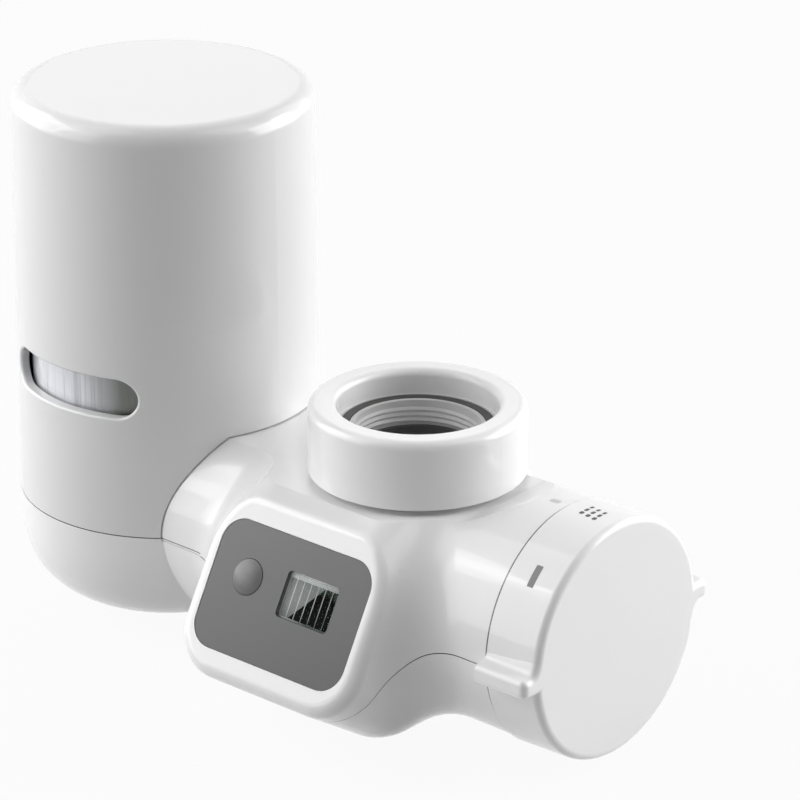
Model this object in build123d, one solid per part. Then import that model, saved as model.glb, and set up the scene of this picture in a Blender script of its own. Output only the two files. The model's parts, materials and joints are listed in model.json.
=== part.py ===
from build123d import *
from math import cos, sin, tan, radians, sqrt
import os

os.makedirs("parts", exist_ok=True)

# Frame: Z is zero where the end of the spout seats, X runs from the cartridge to the dial,
# and -Y is the side with the display. All sizes are in millimetres.

# Gaps
seam = 0.15                 # visible gap between two mouldings
fit_gap = 0.2               # loose fit between pieces that do not move
slide_gap = 0.3             # between faces that turn or slide past each other
seal_gap = 0.05
axle_gap = 0.05
spool_gap = 0.1
stem_gap = 0.08
square_gap = 0.1
ball_gap = 0.1
dial_gap = 0.25
dial_ring_gap = 0.3
arch_gap = 0.25
nozzle_gap = 0.1
panel_gap = 0.1
nut_clear = 1.1             # under the nut when it is tight
neck_clear = 0.5            # under the adapter's flange when the packing is squeezed
rotor_clear = 2.1           # between the strainer and the rotor
rotor_tip_gap = 0.6
lid_clear = 1.8             # over the cartridge's lid
cartridge_clear = 2.15      # between the cartridge and the cover's wall
cover_clear = 12.25         # between the round shoulder and the cover

# Faucet adapter, washer and packing
adapter_bore_d = 22.0
adapter_wall = 3.1
adapter_flange_h = 2.2
adapter_len = 4.6
washer_inset = 1.0
washer_w = 1.4
washer_h = 1.0
packing_h = 1.4
packing_lap = 0.6

# Fixing nut and neck
neck_wall = 1.7
nut_wall = 2.6
nut_lip = 2.4
nut_top = 4.5
nut_h = 12.3
nut_round = 1.6
opening_round = 1.2
shoulder_ledge = 1.0        # the round shoulder stands out past the nut
shoulder_round = 2.0

# Strainer and flow rotor
strainer_ledge = 2.6
strainer_h = 1.2
strainer_hole_d = 2.0
throat_d = 16.4
cage_ledge = 1.2
cage_ledge_h = 0.9
cage_h = 1.2
cage_rim = 1.2
cage_hub_d = 4.4
axle_d = 1.5
rotor_h = 3.6
rotor_hub_d = 4.4
blade_t = 0.7
blade_pitch = 35.0
blade_count = 5

# Valve
valve_bore_d = 23.0
valve_start = 8.0           # closed end of the valve's bore, left of the spout axis
valve_run = 20.7            # end of the ducts to the barrel's end face
spool_bore_d = 13.0
spool_floor = 8.0
seal_d = 2.0
stem_d = 8.0
stem_square = 5.4
stem_len = 11.6
square_len = 5.2
valve_cap_recess = 0.9      # end face of the barrel to the face of the cap
port_d = 5.0
cap_screw_d = 2.4
cap_screw_head = 4.4
cap_screw_out = 3.0         # valve's bore out to the cap's screws
cap_rim = 2.8               # cap's screws out to its edge
cap_screw_len = 12.0
cap_floor = 1.0
ball_d = 3.0
spring_len = 1.5
spring_wire = 0.4
spring_turns = 3

# Barrel
parting_drop = 0.3          # axis of the barrel down to the parting line
end_wall = 4.05             # round the valve's cap
barrel_taper = 0.75         # the barrel is this much thinner at the cartridge
dial_band = 6.2             # full round of the barrel beside the dial
ramp_len = 8.0              # the flat rises to the full round over this length
ramp_round = 6.0            # where the ramp leaves the flat
part_bend = 21.5            # the parting line turns down this far forward of the axis
part_round = 8.0

# Display head: a block with a tilted front, blended into the barrel
head_x = -3.4               # middle of the display
head_y = 31.2               # middle of the display, forward of the spout axis
head_drop = 24.0            # middle of the display, below the spout seat
head_tilt = 29.0            # front face, degrees from upright
head_side = 0.2             # the head stands out past the round shoulder
head_up = 15.4              # front face above its middle
head_down = 16.2            # front face below its middle
head_back = 15.0            # back wall behind the spout axis
head_corner = 9.0
front_round = 2.5
chin_fall = 33.0            # slope of the chin's underside
chin_round = 12.0
blend_r = 11.0

# Display
head_rim = 3.1              # beside the panel
head_brow = 3.85            # above the panel
panel_t = 1.1
panel_corner = 4.7
panel_sink = 0.1
pocket_side = 3.1
pocket_end = 3.95
pocket_up = 0.6
window_w = 11.6
window_h = 8.2
window_x = 5.0
window_up = 1.8
window_corner = 0.8
window_t = 0.8
lcd_margin = 0.9
lcd_t = 1.6
board_t = 1.0
battery_d = 12.5
battery_t = 2.0
button_d = 6.3
button_x = 8.9
button_up = 2.2
button_dome = 0.8
button_flange = 0.8
button_flange_h = 0.8

# Selector dial
dial_lip = 0.35             # the dial stands out past the barrel
dial_draft = 0.25
dial_h = 10.8
dial_wall = 2.2
dial_round = 1.3
dial_hub_d = 13.0
dial_root = 0.5             # what stands in the hollow runs into the face by this much
dial_rib_t = 1.2
dial_rib_h = 4.5
dial_rib_count = 6
dial_ring_w = 4.0
dimple_depth = 1.0
tab_out = 3.1               # the thumb tab stands out past the dial
tab_top = 0.8               # top of the thumb tab above the dial's axis
tab_under = 2.7             # underside of the thumb tab below the dial's axis
tab_slope = 4.4
tab_shoulder = 2.4
tab_floor = 0.8
tab_dip = 0.2
tab_hollow_r = 1.4
tab_lip_r = 1.0
tab_nose_r = 1.3
click_angle = 45.0

# Cartridge cover and cup
cover_d_low = 54.9
cover_taper = 0.5
cover_top = 49.0
cover_wall = 1.8
cover_roof = 2.2
cover_round = 3.4
slot_w = 28.8
slot_h = 7.3
slot_drop = 0.95
slot_round = 0.5
cup_depth = 21.1
cup_power = 3.1             # how square the cup's rounded bottom is
cup_wall = 3.0
cup_floor = 2.6
spigot_h = 2.2

# Cartridge
case_wall = 1.2
base_rise = 12.1            # bottom of the cup up to the cartridge's foot
base_h = 7.0
base_round = 3.0
lid_h = 5.0
lid_round = 1.5
grip_w = 24.0
grip_t = 3.0
grip_h = 1.4
carbon_h = 16.0
nozzle_pitch = 14.0
nozzle_d = 7.0
nozzle_bore_d = 2.6
nozzle_len = 5.5
nozzle_seal_d = 1.4
socket_wall = 2.4

# Ducts and outlets
duct_d = 4.0
duct_wall = 1.2
duct_rise = 0.5             # ducts' axis above the ends of the nozzles
duct_end = 13.0
body_under = 8.3            # ducts' axis down to the flat underside
outlet_x = 2.0
outlet_y = 2.0
outlet_d = 25.0
outlet_lip = 0.9            # the collar stands out under the body
outlet_wall = 1.5
chamber_h = 4.3
shower_lap = 0.6
shower_t = 1.6
shower_hole_d = 1.3
shower_margin = 1.7
shower_row_gap = 1.95
shower_holes = (16, 12, 8)  # in the rows from the edge inwards
shower_port_x = 6.5
stream_d = 7.0
stream_out = 0.4
filtered_apart = 0.9
filtered_d = 6.4
filtered_len = 5.0
filtered_wall = 1.2

# Housing screws
screw_d = 2.8
screw_head_d = 5.4
screw_head_h = 1.6
screw_len = 18.0
screw_seat = 10.3           # axis of the barrel down to the screws' seats
screw_left_x = 27.0
screw_left_y = 13.0
screw_back_x = 17.5
screw_back_wall = 2.7       # between the valve's bore and the screw
screw_chin_x = 8.0
screw_chin_wall = 5.1

# Worked out from the sizes above
foot_d = adapter_bore_d + 2 * adapter_wall
neck_bore_d = foot_d + 2 * slide_gap
neck_d = neck_bore_d + 2 * neck_wall
nut_bore_d = neck_d + 2 * slide_gap
nut_d = nut_bore_d + 2 * nut_wall
opening_d = nut_bore_d - 2 * nut_lip
flange_d = nut_bore_d - 4 * slide_gap
washer_d = adapter_bore_d + 2 * (washer_inset + washer_w)
neck_top_drop = adapter_flange_h + neck_clear
shoulder_r = nut_d / 2 + shoulder_ledge
shoulder_drop = nut_h - nut_top + nut_clear
strainer_d = throat_d + 2 * strainer_ledge
packing_bore_d = strainer_d - 2 * packing_lap
strainer_seat = -adapter_len - packing_h - strainer_h
rotor_top = strainer_seat - rotor_clear
cage_drop = -rotor_top + rotor_h + fit_gap + cage_h
cage_top = -cage_drop + cage_h
rotor_d = throat_d - 2 * rotor_tip_gap
inlet_d = throat_d - 2 * cage_ledge
valve_r = valve_bore_d / 2
axis_drop = cage_drop + cage_ledge_h + valve_r
part_drop = axis_drop + parting_drop
joint_x = duct_end + valve_run
valve_cap_t = cap_floor + spring_len + ball_d + ball_gap - dial_ring_gap
cap_face_x = joint_x - valve_cap_recess
cap_back_x = cap_face_x - valve_cap_t
cap_screw_pcd = valve_bore_d + 2 * cap_screw_out
valve_cap_d = cap_screw_pcd + 2 * cap_rim
barrel_r_dial = valve_cap_d / 2 + end_wall
barrel_r_cup = barrel_r_dial - barrel_taper
ramp_end = joint_x - dial_band
ramp_start = ramp_end - ramp_len
spool_d = valve_bore_d - 2 * spool_gap
spool_end_x = cap_back_x - fit_gap
square_x = spool_end_x + stem_len - square_len
dial_x = joint_x + dial_gap
dial_ring_x = cap_face_x + dial_ring_gap
dial_d = 2 * (barrel_r_dial + dial_lip)
tab_reach = dial_d / 2 + tab_out
cover_r = cover_d_low / 2
cover_d_top = cover_d_low - 2 * cover_taper
cup_offset = shoulder_r + cover_clear + cover_r
cavity_r = cover_r - cup_wall
cartridge_d = cover_d_low - 2 * (cover_wall + cartridge_clear)
lid_top = cover_top - cover_roof - lid_clear
base_drop = part_drop + cup_depth - base_rise
duct_drop = base_drop + nozzle_len - duct_rise
body_bottom = duct_drop + body_under
outlet_drop = body_bottom + outlet_lip
shower_d = outlet_d - 2 * (outlet_wall + fit_gap)
chamber_d = shower_d - 2 * shower_lap
chamber_top = -outlet_drop + chamber_h
filtered_x = outlet_x + outlet_d / 2 + filtered_apart + filtered_d / 2
head_w = 2 * (shoulder_r + head_side)
panel_w = head_w - 2 * head_rim
panel_h = 2 * (head_up - head_brow)
panel_back = panel_sink + panel_t
pocket_w = panel_w - 2 * pocket_side
pocket_h = panel_h - 2 * pocket_end
pocket_depth = lcd_t + board_t + battery_t + 2 * fit_gap
board_depth = panel_back + lcd_t
screw_seat_drop = axis_drop + screw_seat
screw_back_y = valve_r + screw_d / 2 + screw_back_wall
screw_chin_y = valve_r + screw_d / 2 + screw_chin_wall
far = 3 * cup_offset


def ring_z(points):
    """Solid of revolution about Z from (radius, height) points."""
    return revolve(Plane.XZ * make_face(Polyline(*points, close=True)), Axis.Z)


def rod_z(x, y, low, high, d):
    """Upright cylinder between two heights."""
    return Pos(x, y, low) * Cylinder(d / 2, high - low, align=(Align.CENTER, Align.CENTER, Align.MIN))


def rod_x(x, length, d, y=0.0, rise=0.0):
    """Cylinder along X, beside or above the barrel's axis by y and rise."""
    place = Plane(origin=(x, y, -axis_drop + rise), z_dir=(1, 0, 0))
    return place * Cylinder(d / 2, length, align=(Align.CENTER, Align.CENTER, Align.MIN))


def hole_ring(count, pitch_d, d, low, high):
    """Upright holes spaced round a circle on Z."""
    holes = []
    for location in PolarLocations(pitch_d / 2, count):
        holes.append(location * rod_z(0, 0, low, high, d))
    return holes


def edges_at(shape, test):
    """Edges whose middle passes a test of (x, y, z)."""
    found = []
    for edge in shape.edges():
        middle = edge @ 0.5
        if test(middle.X, middle.Y, middle.Z):
            found.append(edge)
    return found


def rounded_corner(face, point, radius):
    """Round the corner of a flat face that is nearest to a point."""
    corner = min(face.vertices(), key=lambda v: (v.X - point[0]) ** 2 + (v.Y - point[1]) ** 2)
    return fillet(corner, radius)


def barrel_r(x):
    """Outer radius of the slightly tapered barrel."""
    span = (x + cup_offset) / (joint_x + cup_offset)
    return barrel_r_cup + (barrel_r_dial - barrel_r_cup) * span


def barrel(extra=0.0):
    """The tapered barrel, grown by extra all round."""
    place = Plane(origin=(-cup_offset, 0, -axis_drop), z_dir=(1, 0, 0))
    return place * Cone(barrel_r_cup + extra, barrel_r_dial + extra, joint_x + cup_offset,
                        align=(Align.CENTER, Align.CENTER, Align.MIN))


def over_flat(extra=0.0):
    """All that lies above the flat shoulder and its ramp up to the dial."""
    low = -shoulder_drop + extra
    crest = -axis_drop + barrel_r(ramp_end) + extra
    points = [(-far, low), (ramp_start, low), (ramp_end, crest), (ramp_end, far), (-far, far)]
    return extrude(Plane.XZ * make_face(Polyline(*points, close=True)), amount=far, both=True)


def above_parting(rise):
    """All that lies above the parting surface of the two halves, moved up by rise."""
    level = -part_drop + rise
    corner = (-part_bend, level)
    points = [(far, level), corner, (-far, level - far + part_bend), (-far, far), (far, far)]
    side = rounded_corner(make_face(Polyline(*points, close=True)), corner, part_round)
    return extrude(Plane.YZ * side, amount=far, both=True)


def head_plane(depth=0.0):
    """Plane parallel to the display's face, depth behind it."""
    lean = radians(head_tilt)
    out = Vector(0, -cos(lean), sin(lean))
    return Plane(origin=Vector(head_x, -head_y, -head_drop) - out * depth, x_dir=(1, 0, 0), z_dir=out)


def head_point(up, depth):
    """(y, z) of a point of the head's side view."""
    lean = radians(head_tilt)
    y = -head_y + up * sin(lean) + depth * cos(lean)
    z = -head_drop + up * cos(lean) - depth * sin(lean)
    return y, z


def on_front(y, z):
    """Whether a point lies on the plane of the head's front."""
    lean = radians(head_tilt)
    return abs(-(y + head_y) * cos(lean) + (z + head_drop) * sin(lean)) < 0.05


def slab(sketch, x, up, depth, thickness):
    """A flat sketch laid on the head's front and sunk into it."""
    return head_plane(depth + thickness) * extrude(Pos(x, up) * sketch, amount=thickness)


def head_block():
    """The display head with its chin, from the tilted front to the back wall."""
    chin_front = head_point(-head_down, 0)
    brow_front = head_point(head_up, 0)
    chin_back = (chin_front[0] + (chin_front[1] + body_bottom) / tan(radians(chin_fall)), -body_bottom)
    brow_back = (-shoulder_r, -shoulder_drop)
    back_low = (head_back, -body_bottom)
    back_high = (head_back, -shoulder_drop)
    side = make_face(Polyline(chin_front, brow_front, brow_back, back_high, back_low, chin_back, close=True))
    side = rounded_corner(side, chin_back, chin_round)
    side = rounded_corner(side, back_low, head_corner)
    block = Pos(head_x, 0, 0) * extrude(Plane.YZ * side, amount=head_w / 2, both=True)

    def end_edge(x, y, z):
        at_end = abs(abs(x - head_x) - head_w / 2) < 0.01
        low_or_front = y < -head_corner or z < -part_drop
        return at_end and low_or_front and not on_front(y, z) and y < head_back - 0.01

    return fillet(edges_at(block, end_edge), head_corner)


def outer_form():
    """Outside of both housing halves together, without the cup."""
    shoulder = rod_z(0, 0, -axis_drop, -shoulder_drop, shoulder_r * 2)
    shoulder = fillet(edges_at(shoulder, lambda x, y, z: z > -shoulder_drop - 0.01), shoulder_round)
    tube = barrel() - over_flat()
    tube = fillet(edges_at(tube, lambda x, y, z: abs(x - ramp_start) < 0.01 and abs(y) < 1), ramp_round)
    form = tube + shoulder + (head_block() - over_flat())
    form = fillet(edges_at(form, lambda x, y, z: on_front(y, z)), front_round)

    def joint_edge(x, y, z):
        on_barrel = abs(sqrt(y * y + (z + axis_drop) ** 2) - barrel_r(x)) < 0.03
        right = head_x + head_w / 4 < x < ramp_start
        return on_barrel and right and y < 0 and -duct_drop < z < -shoulder_drop - 0.01

    return fillet(edges_at(form, joint_edge), blend_r)


def screw_places():
    """Where the four housing screws stand."""
    left = [(-screw_left_x, screw_left_y), (-screw_left_x, -screw_left_y)]
    right = [(screw_back_x, screw_back_y), (screw_chin_x, -screw_chin_y)]
    return left + right


def cap_screw_places():
    """(y, rise) of the three screws of the valve cap."""
    radius = cap_screw_pcd / 2
    return [(radius * cos(radians(a)), radius * sin(radians(a))) for a in (90, 210, 330)]


def valve_space():
    """Room for the valve, its cap, and the screws that hold the cap and the housing."""
    tools = [rod_x(-valve_start, far, valve_bore_d)]
    tools.append(rod_x(cap_back_x, far, valve_cap_d + 2 * fit_gap))
    for y, rise in cap_screw_places():
        tools.append(rod_x(cap_face_x - cap_screw_len, cap_screw_len, cap_screw_d, y, rise))
    for x, y in screw_places():
        tools.append(rod_z(x, y, -screw_seat_drop, -screw_seat_drop + screw_len, screw_d))
        tools.append(rod_z(x, y, -far, -screw_seat_drop, screw_head_d + 2 * fit_gap))
    return tools


def upper_housing():
    """Upper moulding: neck, shoulder, display head and the top of the barrel."""
    part = outer_form() & above_parting(seam / 2)
    part += rod_z(0, 0, -shoulder_drop - fit_gap, -neck_top_drop, neck_d)
    part -= valve_space()
    part -= [
        rod_z(0, 0, strainer_seat + strainer_h, 0, neck_bore_d),
        rod_z(0, 0, strainer_seat, 0, strainer_d + 2 * fit_gap),
        rod_z(0, 0, -cage_drop, 0, throat_d),
        rod_z(0, 0, -axis_drop, 0, inlet_d),
        rod_z(-cup_offset, 0, -far, far, cartridge_d + 2 * slide_gap),
    ]
    panel = RectangleRounded(panel_w, panel_h, panel_corner)
    part -= slab(panel, 0, 0, -front_round, panel_back + front_round)
    part -= slab(Rectangle(pocket_w, pocket_h), 0, pocket_up, panel_back, pocket_depth)
    return part


def cup_form(radius, depth, top):
    """The rounded cup as a solid of the given radius and depth, up to a height."""
    points = []
    for step in (0.0, 0.3, 0.55, 0.75, 0.88, 0.96, 1.0):
        points.append((radius * (1 - step ** cup_power) ** (1 / cup_power), -part_drop - depth * step))
    curve = Spline(*points, tangents=[(0, -1), (-1, 0)])
    rest = Polyline(points[-1], (0, 0), (radius, 0), points[0])
    form = revolve(Plane.XZ * make_face([curve, rest]), Axis.Z)
    return Pos(-cup_offset, 0, 0) * (form & rod_z(0, 0, -far, top, 2 * cover_d_low))


def lower_housing():
    """Lower moulding: cup, underside of the barrel, chin, ducts and outlet collar."""
    cup = cup_form(cover_r, cup_depth, -part_drop - seam / 2)
    over = above_parting(-seam / 2)
    part = (outer_form() - over) + (cup - (barrel(seam) & over))
    part += rod_z(-outlet_x, -outlet_y, -outlet_drop, -duct_drop, outlet_d)
    part += rod_z(-filtered_x, 0, -outlet_drop + fit_gap, -duct_drop, filtered_d + 2 * filtered_wall)
    part -= cup_form(cavity_r, cup_depth - cup_floor, 0)
    spigot_r = cover_r - cover_wall - fit_gap
    base, top = -part_drop - cup_floor, -part_drop + spigot_h
    spigot = ring_z([(cavity_r, base), (spigot_r, base), (spigot_r, top), (cavity_r, top)])
    part += Pos(-cup_offset, 0, 0) * spigot - barrel(slide_gap)
    inside = []
    for y in (-nozzle_pitch / 2, nozzle_pitch / 2):
        inside.append(rod_z(-cup_offset, y, -far, -base_drop - slide_gap, nozzle_d + 2 * socket_wall))
        inside.append(rod_x(-cup_offset, cover_r, duct_d + 2 * duct_wall, y, axis_drop - duct_drop))
    for piece in inside:
        part += piece & cup
    part -= valve_space()
    return part - water_ways()


def water_ways():
    """Passages from the valve to the cartridge's sockets and to the three outlets."""
    ways = []
    for y in (-nozzle_pitch / 2, nozzle_pitch / 2):
        ways.append(rod_x(-cup_offset, cup_offset + duct_end, duct_d, y, axis_drop - duct_drop))
        ways.append(rod_z(duct_end - duct_d / 2, y, -duct_drop, -axis_drop, duct_d))
        socket_low = -base_drop - nozzle_len - slide_gap
        ways.append(rod_z(-cup_offset, y, socket_low, -base_drop, nozzle_d + 2 * nozzle_gap))
    ways.append(rod_z(-outlet_x, -outlet_y, chamber_top, -axis_drop, port_d))
    ways.append(rod_z(shower_port_x, -outlet_y, chamber_top, -axis_drop, port_d))
    ways.append(rod_z(-outlet_x, -outlet_y, -far, chamber_top, chamber_d))
    ways.append(rod_z(-outlet_x, -outlet_y, -far, -outlet_drop + fit_gap + shower_t, shower_d + 2 * fit_gap))
    nozzle_top = -outlet_drop + filtered_len
    ways.append(rod_z(-filtered_x, 0, -far, nozzle_top, filtered_d))
    ways.append(rod_z(-filtered_x, 0, nozzle_top, -duct_drop, duct_d))
    cross = Plane(origin=(-filtered_x, 0, -duct_drop), z_dir=(0, 1, 0))
    ways.append(cross * Cylinder(duct_d / 2, nozzle_pitch / 2, align=(Align.CENTER, Align.CENTER, Align.MIN)))
    return ways


def fixing_nut():
    """Ring nut that clamps the adapter to the neck."""
    low = nut_top - nut_h
    outer, bore, opening = nut_d / 2, nut_bore_d / 2, opening_d / 2
    part = ring_z([(bore, low), (outer, low), (outer, nut_top), (opening, nut_top), (opening, 0), (bore, 0)])
    top = edges_at(part, lambda x, y, z: z > nut_top - 0.01)
    rim = [edge for edge in top if edge.radius > nut_bore_d / 2]
    part = fillet(rim, nut_round)
    mouth = edges_at(part, lambda x, y, z: z > nut_top - 0.01)
    mouth = [edge for edge in mouth if edge.radius < opening + 0.1]
    return fillet(mouth, opening_round)


def faucet_adapter():
    """Threaded ring that screws onto the spout, with a seat for the washer."""
    bore, flange, foot = adapter_bore_d / 2, flange_d / 2, foot_d / 2
    under, low = -adapter_flange_h, -adapter_len
    part = ring_z([(bore, low), (foot, low), (foot, under), (flange, under), (flange, 0), (bore, 0)])
    outer, inner = washer_d / 2 + fit_gap, washer_d / 2 - washer_w - fit_gap
    return part - ring_z([(inner, -washer_h), (outer, -washer_h), (outer, washer_h), (inner, washer_h)])


def spout_washer():
    """Soft washer on which the spout's end seats."""
    outer, inner = washer_d / 2, washer_d / 2 - washer_w
    return ring_z([(inner, -washer_h), (outer, -washer_h), (outer, 0), (inner, 0)])


def packing_ring():
    """Flat packing between the adapter and the neck; it holds the strainer down."""
    inner, outer = packing_bore_d / 2, neck_bore_d / 2 - fit_gap
    low = -adapter_len - packing_h
    return ring_z([(inner, low), (outer, low), (outer, -adapter_len), (inner, -adapter_len)])


def strainer():
    """Pierced disc in the neck."""
    part = rod_z(0, 0, strainer_seat, strainer_seat + strainer_h, strainer_d)
    low, high = strainer_seat - strainer_h, strainer_seat + 2 * strainer_h
    part -= hole_ring(6, 3.2 * strainer_hole_d, strainer_hole_d, low, high)
    part -= hole_ring(12, 6.4 * strainer_hole_d, strainer_hole_d, low, high)
    return part


def rotor_cage():
    """Spoked ring that carries the rotor's axle."""
    outer = throat_d / 2 - fit_gap / 2
    inner = outer - cage_rim
    part = ring_z([(inner, -cage_drop), (outer, -cage_drop), (outer, cage_top), (inner, cage_top)])
    part += rod_z(0, 0, -cage_drop, cage_top, cage_hub_d)
    spoke = Pos(0, 0, -cage_drop) * Box(inner + cage_rim / 2, cage_rim, cage_h,
                                        align=(Align.MIN, Align.CENTER, Align.MIN))
    for turn in (90, 210, 330):
        part += Rot(0, 0, turn) * spoke
    return part - rod_z(0, 0, -cage_drop - cage_h, 0, axle_d)


def rotor_axle():
    """Pin between the cage and the strainer."""
    return rod_z(0, 0, -cage_drop, strainer_seat, axle_d)


def flow_rotor():
    """Small turbine that counts the water."""
    low = rotor_top - rotor_h
    middle = low + rotor_h / 2
    blades = Box(rotor_d, rotor_h * 2, blade_t, align=(Align.MIN, Align.CENTER, Align.CENTER))
    part = rod_z(0, 0, low, low + rotor_h, rotor_hub_d)
    for step in range(blade_count):
        part += Rot(0, 0, step * 360 / blade_count) * Pos(0, 0, middle) * Rot(90 - blade_pitch, 0, 0) * blades
    part = part & rod_z(0, 0, low, low + rotor_h, rotor_d)
    return part - rod_z(0, 0, low - rotor_h, 0, axle_d + 2 * axle_gap)


def seal_places():
    """X of the three seals on the valve's spool."""
    start = -valve_start + fit_gap
    return [start + seal_d, duct_end + duct_d, spool_end_x - seal_d]


def valve_spool():
    """Turning valve body with its stem and square end."""
    start = -valve_start + fit_gap
    part = rod_x(start, spool_end_x - start, spool_d)
    part += rod_x(spool_end_x, stem_len - square_len, stem_d)
    square = Plane(origin=(square_x, 0, -axis_drop), z_dir=(1, 0, 0))
    part += square * Box(stem_square, stem_square, square_len, align=(Align.CENTER, Align.CENTER, Align.MIN))
    floor_d = valve_bore_d - 2 * seal_d - 4 * seal_gap
    for x in seal_places():
        groove = rod_x(x - seal_d / 2 - seal_gap, seal_d + 2 * seal_gap, 2 * valve_bore_d)
        part -= groove - rod_x(x - seal_d, 2 * seal_d, floor_d)
    part -= rod_x(start + spool_floor / 2, spool_end_x - start - spool_floor, spool_bore_d)
    part -= rod_z(0, 0, -axis_drop, 0, inlet_d - 2 * cage_rim)
    for x, turn in ((-outlet_x, 0), (shower_port_x, click_angle), (duct_end - duct_d / 2, -click_angle)):
        port = Plane(origin=(x, 0, -axis_drop), z_dir=(0, sin(radians(turn)), -cos(radians(turn))))
        part -= port * Cylinder(port_d / 2, valve_bore_d, align=(Align.CENTER, Align.CENTER, Align.MIN))
    return part


def spool_seals():
    """Three O-rings on the spool."""
    ring_r = valve_r - seal_gap - seal_d / 2
    rings = []
    for x in seal_places():
        place = Plane(origin=(x, 0, -axis_drop), z_dir=(1, 0, 0))
        rings.append(place * Torus(ring_r, seal_d / 2))
    return Compound(children=rings)


def seal_pocket_d():
    """Bore of the pocket for the stem's O-ring."""
    return stem_d + 2 * seal_d + 4 * seal_gap


def valve_cap():
    """Disc that closes the valve's bore and guides the stem."""
    part = rod_x(cap_back_x, valve_cap_t, valve_cap_d)
    part -= rod_x(cap_back_x - seal_d, far, stem_d + 2 * stem_gap)
    part -= rod_x(cap_back_x - seal_d, 2 * seal_d + seal_gap, seal_pocket_d())
    for y, rise in cap_screw_places():
        part -= rod_x(cap_back_x - seal_d, far, cap_screw_d, y, rise)
        part -= rod_x(cap_face_x - screw_head_h, far, cap_screw_head, y, rise)
    part -= rod_x(cap_back_x + cap_floor, far, ball_d + 2 * ball_gap, 0, -cap_screw_pcd / 2)
    return part


def cap_screws():
    """Three screws of the valve cap."""
    screws = []
    for y, rise in cap_screw_places():
        screw = rod_x(cap_face_x - cap_screw_len, cap_screw_len, cap_screw_d, y, rise)
        head = rod_x(cap_face_x - screw_head_h, screw_head_h - fit_gap, cap_screw_head, y, rise)
        tip = rod_x(cap_face_x - fit_gap, far, cap_screw_d, y, rise)
        screws.append(screw + head - tip)
    return Compound(children=screws)


def stem_seal():
    """O-ring round the stem."""
    place = Plane(origin=(cap_back_x + seal_d / 2, 0, -axis_drop), z_dir=(1, 0, 0))
    return place * Torus(stem_d / 2 + seal_gap + seal_d / 2, seal_d / 2)


def click_ball():
    """Ball that clicks into the dial's dimples."""
    x = dial_ring_x - ball_gap - ball_d / 2
    return Pos(x, 0, -axis_drop - cap_screw_pcd / 2) * Sphere(ball_d / 2)


def click_spring():
    """Coil behind the ball."""
    start = cap_back_x + cap_floor
    end = dial_ring_x - ball_gap - ball_d
    wire = spring_wire / 2
    length = end - start - spring_wire
    path = Helix(length / spring_turns, length, ball_d / 2 - spring_wire)
    begin = Plane(origin=path @ 0, z_dir=path % 0)
    coil = sweep(begin * Circle(wire), path=path, is_frenet=True)
    place = Plane(origin=(start + wire, 0, -axis_drop - cap_screw_pcd / 2), z_dir=(1, 0, 0))
    return place * coil


def thumb_tab():
    """Thumb tab on the front of the dial, with a hollow ramp above it."""
    root = dial_d / 2 - dial_wall
    low = dial_d / 2 - 2 * dial_draft
    hollow = (-low - tab_floor, tab_top + tab_dip)
    tip_high = (-tab_reach, tab_top)
    tip_low = (-tab_reach, -tab_under)
    points = [(-root, tab_top + tab_slope), (-low, tab_top + tab_shoulder), hollow, tip_high, tip_low,
              (-root, -tab_under)]
    side = make_face(Polyline(*points, close=True))
    side = rounded_corner(side, hollow, tab_hollow_r)
    side = rounded_corner(side, tip_high, tab_lip_r)
    side = rounded_corner(side, tip_low, tab_nose_r)
    return Plane(origin=(dial_x, 0, -axis_drop), x_dir=(0, 1, 0), z_dir=(1, 0, 0)) * extrude(side, amount=dial_h)


def selector_dial():
    """Outlet selector with its hollow back, hub, ribs and click ring."""
    place = Plane(origin=(dial_x, 0, -axis_drop), z_dir=(1, 0, 0))
    part = place * Cone(dial_d / 2, dial_d / 2 - dial_draft, dial_h, align=(Align.CENTER, Align.CENTER, Align.MIN))
    axis = Axis((0, 0, -axis_drop), (1, 0, 0))
    tab = thumb_tab()
    part += tab
    part += tab.rotate(axis, 180)
    face_x = dial_x + dial_h
    part = fillet(edges_at(part, lambda x, y, z: x > face_x - 0.01), dial_round)
    cavity_x = face_x - dial_wall
    cavity_d = dial_d - 2 * dial_wall
    part -= rod_x(dial_x - dial_h, cavity_x - dial_x + dial_h, cavity_d)
    ring_out = cap_screw_pcd + dial_ring_w
    ring = rod_x(dial_ring_x, cavity_x - dial_ring_x + dial_root, ring_out)
    ring -= rod_x(dial_ring_x - dial_h, far, ring_out - 2 * dial_ring_w)
    bottom = Plane(origin=(dial_ring_x, 0, -axis_drop - cap_screw_pcd / 2), z_dir=(1, 0, 0))
    dimple = bottom * Cone(ball_d / 2 - ball_gap, ball_d / 8, dimple_depth, align=(Align.CENTER, Align.CENTER, Align.MIN))
    for turn in (-click_angle, 0, click_angle):
        ring -= dimple.rotate(axis, turn)
    part += ring
    part += rod_x(dial_x, cavity_x - dial_x + dial_root, dial_hub_d)
    rib = Pos(cavity_x - dial_rib_h, 0, -axis_drop) * Box(dial_rib_h + dial_root, dial_rib_t, cavity_d / 2 + dial_root,
                                                       align=(Align.MIN, Align.CENTER, Align.MIN))
    for step in range(dial_rib_count):
        part += rib.rotate(axis, (step + 0.5) * 360 / dial_rib_count)
    socket = Plane(origin=(dial_x - dial_gap, 0, -axis_drop), z_dir=(1, 0, 0))
    side = stem_square + 2 * square_gap
    socket_len = square_x + square_len + square_gap - dial_x + dial_gap
    part -= socket * Box(side, side, socket_len, align=(Align.CENTER, Align.CENTER, Align.MIN))
    return part


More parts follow.
